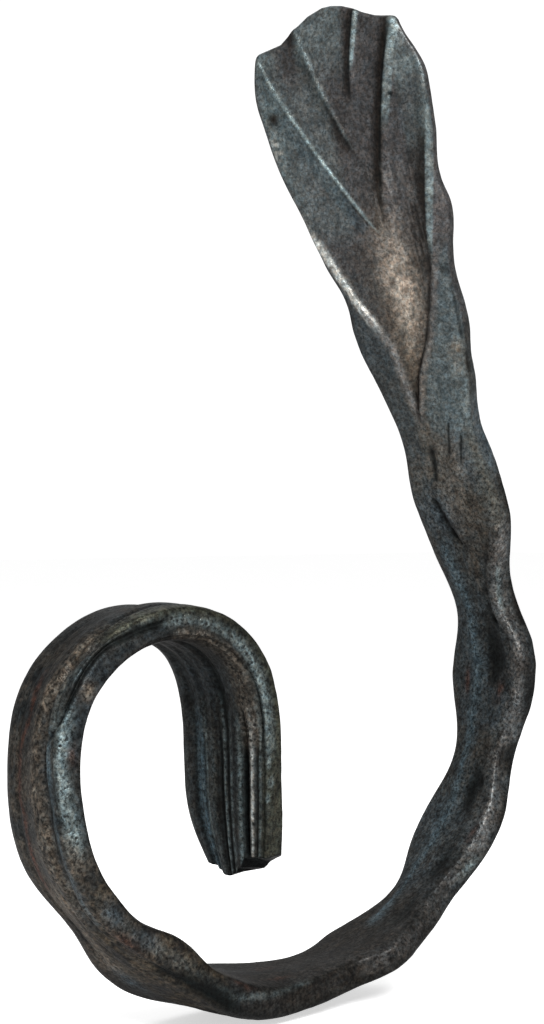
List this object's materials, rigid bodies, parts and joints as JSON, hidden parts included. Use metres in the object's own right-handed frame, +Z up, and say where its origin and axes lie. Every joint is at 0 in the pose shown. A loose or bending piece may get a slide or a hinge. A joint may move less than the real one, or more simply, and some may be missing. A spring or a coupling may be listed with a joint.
{
  "type": "forged scroll end",
  "caption": "Hand-forged iron scroll: a moulded flat bar curled into a spiral with hammered edges, its free end drawn out into a thin veined leaf; for the end of a rail or grille.",
  "frame": {"origin": "centre of the plain cut end of the bar, where it is joined to a rail", "axes": "+Z up, from the cut end towards the leaf tip; the spiral lies in the XZ plane with the stem on the +X side; the bar's width runs along Y"},
  "size_m": [0.2431, 0.0738, 0.4025],
  "materials": {
    "forged_iron": "raw forge scale, blue-grey and mottled, with a worn tan sheen near the leaf and light rust on the curl"
  },
  "bodies": {
    "root": {"forged_scroll": "forged_iron"}
  },
  "joints": []
}
